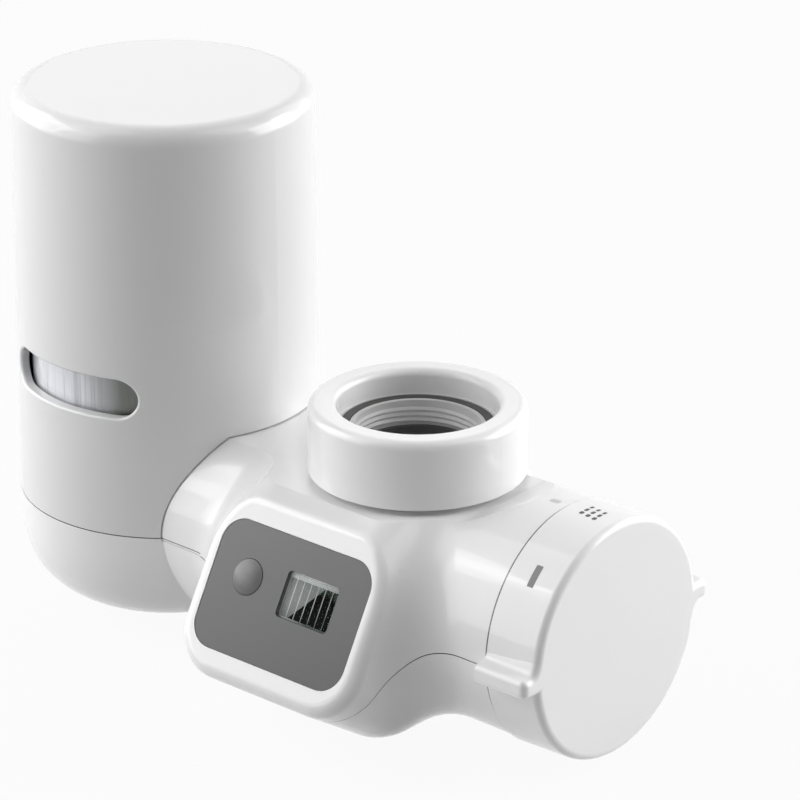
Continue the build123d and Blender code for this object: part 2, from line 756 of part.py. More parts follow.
def cartridge_cover():
    """Tall cover with its window slot and the arch over the barrel."""
    low = -part_drop + seam / 2
    top_r = cover_d_top / 2
    part = ring_z([(0, low), (cover_r, low), (top_r, cover_top), (0, cover_top)])
    part = fillet(edges_at(part, lambda x, y, z: z > cover_top - 0.01), cover_round)
    roof = cover_top - cover_roof
    foot = low - cover_wall
    core = ring_z([(0, foot), (cover_r - cover_wall, foot), (top_r - cover_wall, roof), (0, roof)])
    core = fillet(edges_at(core, lambda x, y, z: z > roof - 0.01), cover_round - cover_wall)
    part = Pos(-cup_offset, 0, 0) * (part - core)
    slot = extrude(Plane.XZ * SlotOverall(slot_w, slot_h), amount=far)
    part -= Pos(-cup_offset, 0, -slot_drop) * slot
    part -= (barrel(arch_gap) - over_flat(arch_gap)) - Pos(-cup_offset - far / 2, 0, 0) * Box(far, far, far)

    def slot_edge(x, y, z):
        skin = sqrt((x + cup_offset) ** 2 + y * y)
        in_slot = y < 0 and abs(z + slot_drop) < slot_h / 2 + 0.01 and abs(x + cup_offset) < slot_w / 2 + 0.01
        return in_slot and skin > top_r

    return fillet(edges_at(part, slot_edge), slot_round)


def cartridge_base():
    """Foot of the cartridge with its two nozzles."""
    part = Pos(-cup_offset, 0, 0) * rod_z(0, 0, -base_drop, -base_drop + base_h, cartridge_d)
    part = fillet(edges_at(part, lambda x, y, z: z < -base_drop + 0.01), base_round)
    low = -base_drop - nozzle_len
    groove_floor = nozzle_d + 2 * nozzle_gap - 2 * seal_gap - 2 * nozzle_seal_d - 2 * seal_gap
    for y in (-nozzle_pitch / 2, nozzle_pitch / 2):
        part += rod_z(-cup_offset, y, low, -base_drop, nozzle_d)
        middle = low + nozzle_len / 2
        groove_low, groove_high = middle - nozzle_seal_d / 2 - seal_gap, middle + nozzle_seal_d / 2 + seal_gap
        groove = rod_z(-cup_offset, y, groove_low, groove_high, 2 * nozzle_d)
        part -= groove - rod_z(-cup_offset, y, low, -base_drop, groove_floor)
        part -= rod_z(-cup_offset, y, low, -base_drop + base_h, nozzle_bore_d)
    return part


def nozzle_seals():
    """O-rings on the cartridge's nozzles."""
    ring_r = nozzle_d / 2 + nozzle_gap - seal_gap - nozzle_seal_d / 2
    rings = []
    for y in (-nozzle_pitch / 2, nozzle_pitch / 2):
        place = Pos(-cup_offset, y, -base_drop - nozzle_len / 2)
        rings.append(place * Torus(ring_r, nozzle_seal_d / 2))
    return Compound(children=rings)


def cartridge_case():
    """Clear tube of the cartridge."""
    outer = cartridge_d / 2
    inner = outer - case_wall
    low, top = -base_drop + base_h, lid_top - lid_h
    return Pos(-cup_offset, 0, 0) * ring_z([(inner, low), (outer, low), (outer, top), (inner, top)])


def cartridge_lid():
    """Lid of the cartridge with a bar to pull it by."""
    part = rod_z(0, 0, lid_top - lid_h, lid_top, cartridge_d)
    part = fillet(edges_at(part, lambda x, y, z: z > lid_top - 0.01), lid_round)
    part += Pos(0, 0, lid_top - lid_h / 2) * Box(grip_w, grip_t, grip_h + lid_h / 2,
                                          align=(Align.CENTER, Align.CENTER, Align.MIN))
    return Pos(-cup_offset, 0, 0) * part


def carbon_element():
    """Block of carbon at the bottom of the cartridge."""
    low = -base_drop + base_h
    return rod_z(-cup_offset, 0, low, low + carbon_h, cartridge_d - 2 * case_wall - 2 * fit_gap)


def fibre_bundle():
    """Bundle of hollow fibres above the carbon."""
    low = -base_drop + base_h + carbon_h
    top = lid_top - lid_h
    return rod_z(-cup_offset, 0, low, top, cartridge_d - 2 * case_wall - 2 * fit_gap)


def display_panel():
    """Grey face plate with openings for the button and the display."""
    part = slab(RectangleRounded(panel_w - 2 * panel_gap, panel_h - 2 * panel_gap, panel_corner - panel_gap),
                0, 0, panel_sink, panel_t)
    part -= slab(Circle(button_d / 2 + panel_gap), -button_x, button_up, 0, 2 * panel_back)
    part -= slab(RectangleRounded(window_w, window_h, window_corner), window_x, window_up, 0, 2 * panel_back)
    return part


def display_window():
    """Clear plate over the display."""
    shape = RectangleRounded(window_w - 2 * panel_gap, window_h - 2 * panel_gap, window_corner - panel_gap)
    return slab(shape, window_x, window_up, panel_back - window_t, window_t)


def lcd_display():
    """Liquid crystal cell behind the window."""
    shape = Rectangle(window_w + 2 * lcd_margin, window_h + 2 * lcd_margin)
    return slab(shape, window_x, window_up, panel_back, lcd_t)


def circuit_board():
    """Board behind the display."""
    shape = Rectangle(pocket_w - 2 * fit_gap, pocket_h - 2 * fit_gap)
    return slab(shape, 0, pocket_up, board_depth, board_t)


def coin_battery():
    """Coin cell behind the board."""
    return slab(Circle(battery_d / 2), 0, pocket_up, board_depth + board_t, battery_t)


def reset_button():
    """Button with a low round dome and a flange behind the panel."""
    part = slab(Circle(button_d / 2), -button_x, button_up, -button_dome, button_dome + panel_back)
    dome_r = (button_d ** 2 / 4 + button_dome ** 2) / (2 * button_dome)
    part &= head_plane(dome_r - button_dome) * Pos(-button_x, button_up) * Sphere(dome_r)
    part += slab(Circle(button_d / 2 + button_flange), -button_x, button_up, panel_back, button_flange_h)
    return part


def shower_plate():
    """Pierced plate of the shower outlet."""
    low = -outlet_drop + fit_gap
    part = rod_z(0, 0, low, low + shower_t, shower_d)
    part -= rod_z(0, 0, low - shower_t, low + 2 * shower_t, stream_d + fit_gap)
    for row, count in enumerate(shower_holes):
        pitch_d = shower_d - 2 * shower_margin - 2 * row * shower_row_gap
        part -= hole_ring(count, pitch_d, shower_hole_d, low - shower_t, low + 2 * shower_t)
    return Pos(-outlet_x, -outlet_y, 0) * part


def stream_nozzle():
    """Tube of the straight stream in the middle of the shower plate."""
    part = rod_z(-outlet_x, -outlet_y, -outlet_drop - stream_out, chamber_top, stream_d)
    return part - rod_z(-outlet_x, -outlet_y, -far, 0, port_d)


def filtered_nozzle():
    """Spout of the filtered water."""
    part = rod_z(-filtered_x, 0, -outlet_drop, -outlet_drop + filtered_len, filtered_d)
    return part - rod_z(-filtered_x, 0, -far, 0, duct_d)


def housing_screws():
    """Four screws that close the housing from below."""
    screws = []
    for x, y in screw_places():
        shank = rod_z(x, y, -screw_seat_drop, -screw_seat_drop + screw_len, screw_d)
        head = rod_z(x, y, -screw_seat_drop - screw_head_h, -screw_seat_drop, screw_head_d)
        screws.append(shank + head)
    return Compound(children=screws)


pieces = {
    "upper_housing": upper_housing,
    "lower_housing": lower_housing,
    "fixing_nut": fixing_nut,
    "faucet_adapter": faucet_adapter,
    "spout_washer": spout_washer,
    "packing_ring": packing_ring,
    "strainer": strainer,
    "rotor_cage": rotor_cage,
    "rotor_axle": rotor_axle,
    "flow_rotor": flow_rotor,
    "valve_spool": valve_spool,
    "spool_seals": spool_seals,
    "valve_cap": valve_cap,
    "cap_screws": cap_screws,
    "stem_seal": stem_seal,
    "click_ball": click_ball,
    "click_spring": click_spring,
    "selector_dial": selector_dial,
    "cartridge_cover": cartridge_cover,
    "cartridge_base": cartridge_base,
    "nozzle_seals": nozzle_seals,
    "cartridge_case": cartridge_case,
    "cartridge_lid": cartridge_lid,
    "carbon_element": carbon_element,
    "fibre_bundle": fibre_bundle,
    "display_panel": display_panel,
    "display_window": display_window,
    "lcd_display": lcd_display,
    "circuit_board": circuit_board,
    "coin_battery": coin_battery,
    "reset_button": reset_button,
    "shower_plate": shower_plate,
    "stream_nozzle": stream_nozzle,
    "filtered_nozzle": filtered_nozzle,
    "housing_screws": housing_screws,
}

for node, make in pieces.items():
    shape = make()
    print(node, len(shape.solids()), round(shape.volume, 1), shape.is_valid)
    export_step(shape, "parts/" + node + ".step")
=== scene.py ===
import json
import math

import bpy
from mathutils import Matrix, Vector


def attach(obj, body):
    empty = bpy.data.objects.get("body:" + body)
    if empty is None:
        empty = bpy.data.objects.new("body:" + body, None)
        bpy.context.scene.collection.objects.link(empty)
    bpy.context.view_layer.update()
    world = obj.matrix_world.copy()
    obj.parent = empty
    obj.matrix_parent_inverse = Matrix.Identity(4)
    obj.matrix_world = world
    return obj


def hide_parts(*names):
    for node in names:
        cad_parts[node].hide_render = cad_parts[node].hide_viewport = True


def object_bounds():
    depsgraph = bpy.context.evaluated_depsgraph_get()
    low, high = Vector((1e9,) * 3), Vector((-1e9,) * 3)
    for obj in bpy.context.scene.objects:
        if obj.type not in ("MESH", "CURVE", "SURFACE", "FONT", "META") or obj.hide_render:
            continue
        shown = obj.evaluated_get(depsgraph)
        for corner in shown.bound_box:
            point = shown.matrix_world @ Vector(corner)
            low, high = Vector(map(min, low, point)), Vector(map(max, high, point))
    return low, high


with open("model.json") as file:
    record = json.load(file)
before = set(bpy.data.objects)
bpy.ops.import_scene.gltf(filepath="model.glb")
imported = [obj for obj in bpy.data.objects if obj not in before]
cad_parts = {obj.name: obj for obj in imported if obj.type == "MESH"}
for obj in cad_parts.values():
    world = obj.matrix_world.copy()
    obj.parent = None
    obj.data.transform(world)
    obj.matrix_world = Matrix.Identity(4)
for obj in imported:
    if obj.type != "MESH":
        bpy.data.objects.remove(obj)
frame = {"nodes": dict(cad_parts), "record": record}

cad_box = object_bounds()
bpy.ops.object.select_all(action='DESELECT')

# Sizes in metres, in the frame of the CAD: Z is zero where the end of the spout seats,
# X runs from the cartridge to the dial and -Y is the side with the display.
MM = 0.001
AXIS_Z = -26.7 * MM            # axis of the barrel and of the dial
DIAL_X = 33.95 * MM            # back edge of the dial
DIAL_R = 21.7 * MM
COVER_X = -59.7 * MM           # axis of the cover and of the cartridge
ADAPTER_BORE_R = 11.0 * MM
NECK_R = 16.1 * MM

PANEL_TILT = math.radians(29)
PANEL_MIDDLE = Vector((-3.4, -31.2, -24.0)) * MM
PANEL_UP = Vector((0, math.sin(PANEL_TILT), math.cos(PANEL_TILT)))
WINDOW_MIDDLE = PANEL_MIDDLE + Vector((5.0 * MM, 0, 0)) + PANEL_UP * 1.8 * MM
WINDOW_W = 11.6 * MM
WINDOW_H = 8.2 * MM

PARTING_Z = -27.0 * MM         # parting line of the two halves
BEND_Y = -21.5 * MM            # where the parting line turns down under the display
BEND_R = 8.0 * MM
SEAM = 0.15 * MM
SEAM_SHADE_REACH = 0.6 * SEAM        # half the height of the seam faces that get painted shade
CUP_EDGE_X = -32.3 * MM        # right edge of the cup and of the cover
BARREL_END_SHADE = 0.52 * MM         # from the barrel's end face to the dial: the housing gets painted shade this close to the dial
DIAL_BACK_SHADE = 0.02 * MM          # thickness of the dial's back face that gets painted shade

CASE_R = 23.5 * MM             # the cartridge is wider above the barrel
CASE_WIDE_R = 25.0 * MM
CASE_WALL = 0.3 * MM
CASE_LOW = -29.0 * MM
CASE_TOP = 39.95 * MM
FIBRES_R = 22.1 * MM
FIBRES_WIDE_R = 24.65 * MM
FIBRES_LOW = -12.95 * MM
FIBRES_TOP = 39.9 * MM
STEP_LOW = -8.2 * MM
STEP_HIGH = -7.2 * MM
SHOULDER_Z = 38.8 * MM

MARK_X = 38.85 * MM            # middle of the dial's marks
INDEX_X = 30.7 * MM            # mark on the barrel
INK_RISE = 0.02 * MM

SCREW_PLACES = ((-27, 13, -37), (-27, -13, -37), (17.5, 15.6, -37), (8, -18, -37))   # mm
SCREW_HEAD_D = 5.4 * MM
SCREW_HEAD_H = 1.6 * MM
SCREW_D = 2.8 * MM
SCREW_LEN = 18 * MM

JUST = 0.01 * MM               # slack for tests of a place


# ---------------------------------------------------------------- node trees

class Value:
    """A number that varies over a surface. Sums and products of it add Math nodes."""

    def __init__(self, tree, socket):
        self.tree = tree
        self.socket = socket

    def maths(self, operation, first, second=None):
        inputs = {0: first}
        if second is not None:
            inputs[1] = second
        return self.tree.node('ShaderNodeMath', {'operation': operation}, inputs)

    def __add__(self, other):
        return self.maths('ADD', self, other)

    def __radd__(self, other):
        return self.maths('ADD', other, self)

    def __sub__(self, other):
        return self.maths('SUBTRACT', self, other)

    def __rsub__(self, other):
        return self.maths('SUBTRACT', other, self)

    def __mul__(self, other):
        return self.maths('MULTIPLY', self, other)

    def __rmul__(self, other):
        return self.maths('MULTIPLY', other, self)

    def __truediv__(self, other):
        return self.maths('DIVIDE', self, other)

    def __rtruediv__(self, other):
        return self.maths('DIVIDE', other, self)

    def __pow__(self, other):
        return self.maths('POWER', self, other)

    def __gt__(self, other):
        return self.maths('GREATER_THAN', self, other)

    def __lt__(self, other):
        return self.maths('LESS_THAN', self, other)

    def larger(self, other):
        return self.maths('MAXIMUM', self, other)

    def smaller(self, other):
        return self.maths('MINIMUM', self, other)

    def fraction(self):
        return self.maths('FRACT', self)

    def sine(self):
        return self.maths('SINE', self)

    def between(self, low, high):
        return (self > low) * (self < high)


class Tree:
    """A node tree, with one way to add a node."""

    def __init__(self, nodes):
        self.nodes = nodes

    def node(self, kind, settings=None, inputs=None, output=0):
        """Adds a node: its settings first, then the values or links of its sockets.

        Gives the value of one output, or a list of values where output is a tuple.
        """
        made = self.nodes.nodes.new(kind)
        for name, value in (settings or {}).items():
            if name == 'stops':
                self.set_stops(made.color_ramp, value)
            else:
                setattr(made, name, value)
        for key, value in (inputs or {}).items():
            self.feed(made.inputs[key], value)
        if isinstance(output, tuple):
            return [Value(self, made.outputs[each]) for each in output]
        return Value(self, made.outputs[output])

    def set_stops(self, ramp, stops):
        while len(ramp.elements) < len(stops):
            ramp.elements.new(1.0)
        for element, (place, grey) in zip(ramp.elements, stops):
            element.position = place
            element.color = (grey, grey, grey, 1.0)

    def feed(self, socket, value):
        if isinstance(value, Value):
            self.nodes.links.new(value.socket, socket)
        else:
            socket.default_value = value

    def mix(self, share, first, second):
        """The first colour where share is 0 and the second where it is 1."""
        inputs = {0: share, 6: first, 7: second}
        return self.node('ShaderNodeMix', {'data_type': 'RGBA'}, inputs, output=2)

    def ramp(self, value, *stops):
        """A value looked up in stops of (place, level)."""
        return self.node('ShaderNodeValToRGB', {'stops': stops}, {0: value})

    def in_view(self):
        """1 for the camera, mirrors and glass, and 0 for what lights the object."""
        camera, mirror, glass = self.node(
            'ShaderNodeLightPath', {}, {},
            ('Is Camera Ray', 'Is Glossy Ray', 'Is Transmission Ray'))
        return (camera + mirror + glass).smaller(1.0)


class Finish(Tree):
    """A material of this object, with its Principled shader."""

    def __init__(self, name, **sockets):
        self.material = bpy.data.materials.new(name)
        self.material.use_nodes = True
        super().__init__(self.material.node_tree)
        self.shader = self.material.node_tree.nodes['Principled BSDF']
        self.place = self.node('ShaderNodeTexCoord', output=3)
        for key, value in sockets.items():
            self.set(key.replace('_', ' '), value)

    def set(self, socket, value):
        self.feed(self.shader.inputs[socket], value)

    def axes(self):
        """X, Y and Z of the surface as three values."""
        return self.node('ShaderNodeSeparateXYZ', {}, {0: self.place}, (0, 1, 2))

    def stretched(self, x, y, z):
        """The surface's place, scaled by a number along each axis."""
        return self.node('ShaderNodeMapping', {}, {0: self.place, 3: (x, y, z)})

    def noise(self, scale, detail=2.0, rough=0.5, place=None):
        return self.node('ShaderNodeTexNoise', {}, {
            'Vector': place or self.place, 'Scale': scale, 'Detail': detail, 'Roughness': rough})

    def bump(self, height, distance, strength=1.0):
        """Raises the surface by distance, in metres, where height is 1."""
        inputs = {'Height': height, 'Distance': distance, 'Strength': strength}
        self.set('Normal', self.node('ShaderNodeBump', {}, inputs))


def grey(level):
    return (level, level, level, 1.0)


def colour(red, green, blue):
    return (red, green, blue, 1.0)


# ---------------------------------------------------------------- finishes

def parting_height(y):
    """Height of the parting surface: level, then bent down at 45 degrees under the display."""
    reach = BEND_R * math.tan(math.radians(45 / 2))
    start, end = BEND_Y + reach, BEND_Y - reach * math.sqrt(0.5)
    middle_z = PARTING_Z - BEND_R
    run = y - start
    arc = (BEND_R ** 2 - run * run).larger(0.0) ** 0.5 + middle_z
    slope = y + (PARTING_Z - BEND_Y)
    return (y > start) * PARTING_Z + y.between(end, start) * arc + (y < end) * slope


def housing_seam_shade(x, y, z):
    """Painted shade on the faces of the housing halves that meet each other, the cover or the dial.
    """
    bent = z - parting_height(y)
    level = z - PARTING_Z
    at_cup = x < CUP_EDGE_X
    drop = at_cup * level + (1 - at_cup) * bent
    return drop.between(-SEAM_SHADE_REACH, SEAM_SHADE_REACH).larger(x > DIAL_X - BARREL_END_SHADE)


def cover_seam_shade(x, y, z):
    """Painted shade on the cover's bottom edge."""
    return z < PARTING_Z + SEAM_SHADE_REACH


def dial_seam_shade(x, y, z):
    """Painted shade on the dial's back edge, but not on its thumb tabs."""
    drop = z - AXIS_Z
    return (x < DIAL_X + DIAL_BACK_SHADE) * (y * y + drop * drop < DIAL_R * DIAL_R)


def moulded_white(name, light, shade, roughness, peel, seam_shade=None):
    """Glossy moulded plastic: a soft flow pattern, fine orange peel, and painted shade along the
    seam lines.
    """
    finish = Finish(name, IOR=1.5, Specular_IOR_Level=0.35, Coat_Weight=0.75,
                    Coat_Roughness=0.03)
    flow = finish.noise(34.0, 3.0)
    tone = finish.mix(flow, shade, light)
    if seam_shade is not None:
        # painted shade: dark grey where the parts meet, standing in for the shade that falls in the
        # gaps
        tone = finish.mix(seam_shade(*finish.axes()), tone, grey(0.09))
    finish.set('Base Color', tone)
    handled = finish.noise(120.0, 4.0, 0.6)
    finish.set('Roughness', roughness + (handled - 0.5) * 0.06)
    finish.bump(finish.noise(160.0, 1.0), peel)
    return finish.material


def grained_plastic(name, light, dark, roughness, grain=2600.0, depth=0.02 * MM):
    """Matt or satin plastic with a fine spark-eroded grain."""
    finish = Finish(name, IOR=1.48)
    pits = finish.noise(grain, 3.0, 0.65)
    finish.set('Base Color', finish.mix(finish.noise(grain / 40, 4.0), dark, light))
    finish.set('Roughness', roughness + (pits - 0.5) * 0.16)
    finish.bump(pits, depth, 0.6)
    return finish.material


def shaded_panel(name, light, dark):
    """Satin face plate, painted a little darker towards the lower corner on the dial's side:
    painted shade.
    """
    finish = Finish(name, IOR=1.45)
    x, y, z = finish.axes()
    up = (y - PANEL_MIDDLE.y) * PANEL_UP.y + (z - PANEL_MIDDLE.z) * PANEL_UP.z
    half_width, half_height = 14 * MM, 11 * MM
    share = (x - PANEL_MIDDLE.x) * (0.25 / half_width) - up * (0.32 / half_height) + 0.5
    # painted shade: spray runs the base colour from light at the upper corner away from the dial to
    # dark at the lower corner on the dial's side
    spray = finish.ramp(share, (0.0, 0.0), (1.0, 1.0))
    finish.set('Base Color', finish.mix(spray, light, dark))
    pits = finish.noise(3400.0, 3.0, 0.65)
    finish.set('Roughness', 0.4 + (pits - 0.5) * 0.16)
    finish.bump(pits, 0.010 * MM, 0.5)
    return finish.material


def rubber(name):
    """Black nitrile with a bloom of paler dust."""
    finish = Finish(name, IOR=1.52, Sheen_Weight=0.1)
    bloom = finish.noise(420.0, 5.0, 0.7)
    finish.set('Base Color', finish.mix(bloom, grey(0.018), grey(0.05)))
    finish.set('Roughness', 0.5 + bloom * 0.25)
    finish.bump(finish.noise(3800.0, 2.0), 0.01 * MM, 0.7)
    return finish.material


def drawn_steel(name, tint, roughness, lines):
    """Steel with fine lines along Z, some paler and rougher than others."""
    finish = Finish(name, Metallic=1.0)
    scratch = finish.noise(lines, 4.0, 0.7, finish.stretched(1.0, 1.0, 0.04))
    dull = colour(*[part * 0.72 for part in tint])
    finish.set('Base Color', finish.mix(scratch, dull, colour(*tint)))
    finish.set('Roughness', roughness + (scratch - 0.5) * 0.2)
    finish.bump(scratch, 0.006 * MM, 0.5)
    return finish.material


def woven_steel(name):
    """Fine wire cloth: two sets of wires that pass over and under each other."""
    finish = Finish(name, Metallic=1.0)
    x, y, z = finish.axes()
    wire_pitch = 0.42 * MM
    turn = 2 * math.pi / wire_pitch
    warp = (x * turn).sine() * 0.5 + 0.5
    weft = (y * turn).sine() * 0.5 + 0.5
    wires = warp.larger(weft)
    finish.set('Base Color', finish.mix(wires, grey(0.10), grey(0.62)))
    finish.set('Roughness', 0.42 - wires * 0.14)
    finish.bump(wires, 0.05 * MM, 0.8)
    return finish.material


def clear_moulding(name, tint, roughness, coat):
    """Clear moulding that bends light little, as when it is bonded to what lies behind it."""
    finish = Finish(name, Transmission_Weight=1.0, IOR=1.06, Coat_Weight=coat,
                    Coat_Roughness=0.03)
    flow = finish.noise(90.0, 2.0, 0.5, finish.stretched(1.0, 1.0, 0.2))
    finish.set('Base Color', finish.mix(flow, colour(*tint), grey(1.0)))
    finish.set('Roughness', roughness + flow * 0.02)
    return finish.material


def carbon_block(name):
    """Pressed grains of activated carbon."""
    finish = Finish(name, IOR=1.5)
    cells = finish.node('ShaderNodeTexVoronoi', {}, {'Vector': finish.place, 'Scale': 1500.0})
    finish.set('Base Color', finish.mix(cells, grey(0.055), grey(0.012)))
    finish.set('Roughness', 0.55 + cells * 0.4)
    finish.bump(cells, 0.12 * MM, 0.8)
    return finish.material


def hollow_fibres(name):
    """White hollow fibres side by side, with grey gaps between tufts and a dark olive stripe of
    painted shade on the front.
    """
    finish = Finish(name, IOR=1.4, Sheen_Weight=0.3)
    hair = finish.noise(2100.0, 3.0, 0.6, finish.stretched(1.0, 1.0, 0.035))
    tuft = finish.noise(420.0, 2.0, 0.5, finish.stretched(1.0, 1.0, 0.06))
    fibre = finish.ramp(hair * 0.5 + tuft * 0.5, (0.28, 0.0), (0.52, 1.0))
    tone = finish.mix(fibre, colour(0.26, 0.26, 0.28), colour(0.66, 0.66, 0.69))
    x, y, z = finish.axes()
    # painted shade: dark olive across the front half, where the cover shades the fibres
    shade_left, shade_width = 8.0 * MM, 28.0 * MM
    painted_fibre_shade = finish.ramp((x - COVER_X + shade_left) / shade_width,
                       (0.0, 0.0), (0.36, 0.16), (0.50, 0.54), (0.62, 0.85),
                       (0.66, 0.97), (0.78, 0.96), (0.90, 0.30), (1.0, 0.0))
    finish.set('Base Color', finish.mix(painted_fibre_shade * (y < 0), tone, colour(0.040, 0.045, 0.034)))
    finish.set('Roughness', 0.85 - fibre * 0.35)
    finish.bump(fibre, 0.18 * MM, 0.8)
    return finish.material


def liquid_crystal(name):
    """Reflective cell with seven bars; the dark part of the bars rises to the right as a wedge. The
    cell is pale grey at the top left, fading to dark green-grey at the bottom right: a painted
    reflection.
    """
    finish = Finish(name, IOR=1.5, Specular_IOR_Level=0.02)
    x, y, z = finish.axes()
    across = (x - WINDOW_MIDDLE.x) / WINDOW_W + 0.5
    up = (y - WINDOW_MIDDLE.y) * PANEL_UP.y + (z - WINDOW_MIDDLE.z) * PANEL_UP.z
    up = up / WINDOW_H + 0.5
    bottom, top, right = 0.04, 0.87, 0.975
    bar_pitch = 0.1392
    wedge_start, wedge_slope = 0.18, 1.65
    field = across.between(0.0, right) * up.between(bottom, top)
    bar = (across / bar_pitch).fraction().between(0.05, 0.93)
    filled = up < (across - wedge_start) * wedge_slope + bottom
    dark = field * bar * filled
    ghost = field * bar * (1 - filled)
    # painted reflection: pale at the top left of the cell, fading to dark green-grey at the bottom
    # right
    painted_glare = finish.ramp((across - 0.1) * 0.55 + (1 - up) * 0.75, (0.25, 0.0), (0.95, 1.0))
    glare_tone = finish.mix(painted_glare, colour(0.66, 0.68, 0.67), colour(0.075, 0.090, 0.085))
    tone = finish.mix(ghost * 0.62, glare_tone, colour(0.055, 0.057, 0.057))
    finish.set('Base Color', finish.mix(dark, tone, grey(0.004)))
    finish.set('Roughness', 0.5 + ghost * 0.1)
    return finish.material


def circuit(name):
    """Green solder mask over copper tracks."""
    finish = Finish(name, IOR=1.55, Coat_Weight=0.5, Coat_Roughness=0.2)
    x, y, z = finish.axes()
    upright = (x * 900).fraction().between(0.4, 0.6)
    level = (z * 700).fraction().between(0.42, 0.58)
    tracks = (upright + level) * 0.5
    mask, copper = colour(0.008, 0.07, 0.03), colour(0.03, 0.19, 0.07)
    finish.set('Base Color', finish.mix(tracks, mask, copper))
    finish.set('Roughness', 0.35 + tracks * 0.15)
    finish.bump(tracks, 0.03 * MM, 0.6)
    return finish.material


def printed_ink(name, level):
    """Pad-printed ink: a little rough, with a slightly uneven edge of tone."""
    finish = Finish(name, IOR=1.45)
    blot = finish.noise(1900.0, 3.0, 0.6)
    finish.set('Base Color', finish.mix(blot, grey(level * 0.9), grey(level * 1.1)))
    finish.set('Roughness', 0.45 + blot * 0.1)
    return finish.material


PEEL = 0.008 * MM              # depth of the orange peel on the glossy mouldings
FINISHES = {
    'white_shell': moulded_white('shell_white', grey(0.88), grey(0.87), 0.34, PEEL, housing_seam_shade),
    'white_nut': moulded_white('nut_white', grey(0.90), grey(0.89), 0.32, PEEL),
    'dial_white': moulded_white('dial_white', grey(0.90), grey(0.89), 0.36, PEEL, dial_seam_shade),
    'white_cover': moulded_white('cover_white', grey(0.765), grey(0.755), 0.34, PEEL, cover_seam_shade),
    'adapter_plastic': grained_plastic('adapter_grey', grey(0.62), grey(0.55), 0.42),
    'seal_rubber': rubber('seal_black'),
    'strainer_steel': woven_steel('wire_cloth'),
    'screw_steel': drawn_steel('screw_plating', (0.66, 0.66, 0.65), 0.28, 1800.0),
    'inner_plastic': grained_plastic('inner_white', grey(0.72), grey(0.66), 0.45),
    'rotor_plastic': grained_plastic('rotor_blue', colour(0.10, 0.24, 0.52),
                                     colour(0.07, 0.18, 0.42), 0.38),
    'clear_case': clear_moulding('case_clear', (0.93, 0.95, 0.96), 0.03, 0.8),
    'carbon': carbon_block('carbon_black'),
    'fibre': hollow_fibres('fibre_white'),
    'grey_panel': shaded_panel('panel_grey', grey(0.128), grey(0.066)),
    'grey_button': grained_plastic('button_grey', grey(0.150), grey(0.140), 0.36,
                                   grain=3400.0, depth=0.008 * MM),
    'window_glass': clear_moulding('window_clear', (0.97, 0.98, 0.98), 0.0, 0.0),
    'lcd_glass': liquid_crystal('display_cell'),
    'board': circuit('board_green'),
}
INK_DARK = printed_ink('ink_dark', 0.085)
INK_MID = printed_ink('ink_mid', 0.24)
INK_PALE = printed_ink('ink_pale', 0.62)
TURNED_STEEL = drawn_steel('turned_steel', (0.62, 0.62, 0.61), 0.26, 1500.0)
OWN_FINISH = {'rotor_axle': TURNED_STEEL, 'shower_plate': TURNED_STEEL}

for part in frame['record']['subparts']:
    node = frame['nodes'][part['node']]
    for place in node.material_slots:
        place.material = OWN_FINISH.get(part['node'], FINISHES[part['material_slot']])


# ---------------------------------------------------------------- modelling

def pick(*pieces):
    """Selects these pieces alone and makes the first one active."""
    bpy.ops.object.select_all(action='DESELECT')
    for piece in pieces:
        piece.select_set(True)
    bpy.context.view_layer.objects.active = pieces[0]


def edit(piece, select=None):
    """Starts edit mode on one piece, with all of it or the vertices that pass a test selected."""
    pick(piece)
    bpy.ops.object.mode_set(mode='EDIT')
    bpy.ops.mesh.select_all(action='SELECT' if select is None else 'DESELECT')
    if select is not None:
        bpy.ops.object.mode_set(mode='OBJECT')
        for vertex in piece.data.vertices:
            vertex.select = select(vertex.co)
        bpy.ops.object.mode_set(mode='EDIT')


def done():
    bpy.ops.object.mode_set(mode='OBJECT')


def take(name):
    """The object that an operator has just made, under its name."""
    piece = bpy.context.object
    piece.name = name
    piece.data.name = name
    return piece


def settle(piece):
    """Puts a piece's place, turn and scale into its mesh."""
    pick(piece)
    bpy.ops.object.transform_apply(location=True, rotation=True, scale=True)


def with_modifier(piece, kind, **settings):
    """Adds a modifier and applies it."""
    pick(piece)
    modifier = piece.modifiers.new(kind.title(), kind)
    for name, value in settings.items():
        setattr(modifier, name, value)
    bpy.ops.object.modifier_apply(modifier=modifier.name)


def joined(name, pieces):
    """Several pieces as one object."""
    pick(*pieces)
    bpy.ops.object.join()
    return take(name)


def outward(piece):
    """Points all faces of a closed mesh outwards, after its doubles are merged."""
    edit(piece)
    bpy.ops.mesh.remove_doubles(threshold=0.0005 * MM)
    bpy.ops.mesh.normals_make_consistent(inside=False)
    done()


def dress(piece, material, body):
    """Gives a finished piece its material, its body and the slot of its finish."""
    piece.data.materials.clear()
    piece.data.materials.append(material)
    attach(piece, body)


def printed_mark(name, carrier, x, angle, width, length, corner, cuts=3):
    """A patch of ink wrapped on a node that is round about the barrel's axis.

    angle is from the top towards the display, width is along the axis and length round it.
    """
    lift = DIAL_R + 2 * MM
    middle = Vector((x, -lift * math.sin(angle), AXIS_Z + lift * math.cos(angle)))
    bpy.ops.mesh.primitive_plane_add(size=1.0, location=middle, rotation=(angle, 0, 0))
    mark = take(name)
    mark.scale = (width, length, 1.0)
    bpy.ops.object.transform_apply(location=False, rotation=False, scale=True)
    edit(mark)
    bpy.ops.mesh.bevel(offset=corner, segments=5, affect='VERTICES')
    bpy.ops.mesh.quads_convert_to_tris()
    bpy.ops.mesh.subdivide(number_cuts=cuts)
    done()
    with_modifier(mark, 'SHRINKWRAP', target=carrier, wrap_method='PROJECT', use_project_z=True,
                  use_negative_direction=True, use_positive_direction=False, offset=INK_RISE)
    settle(mark)
    return mark


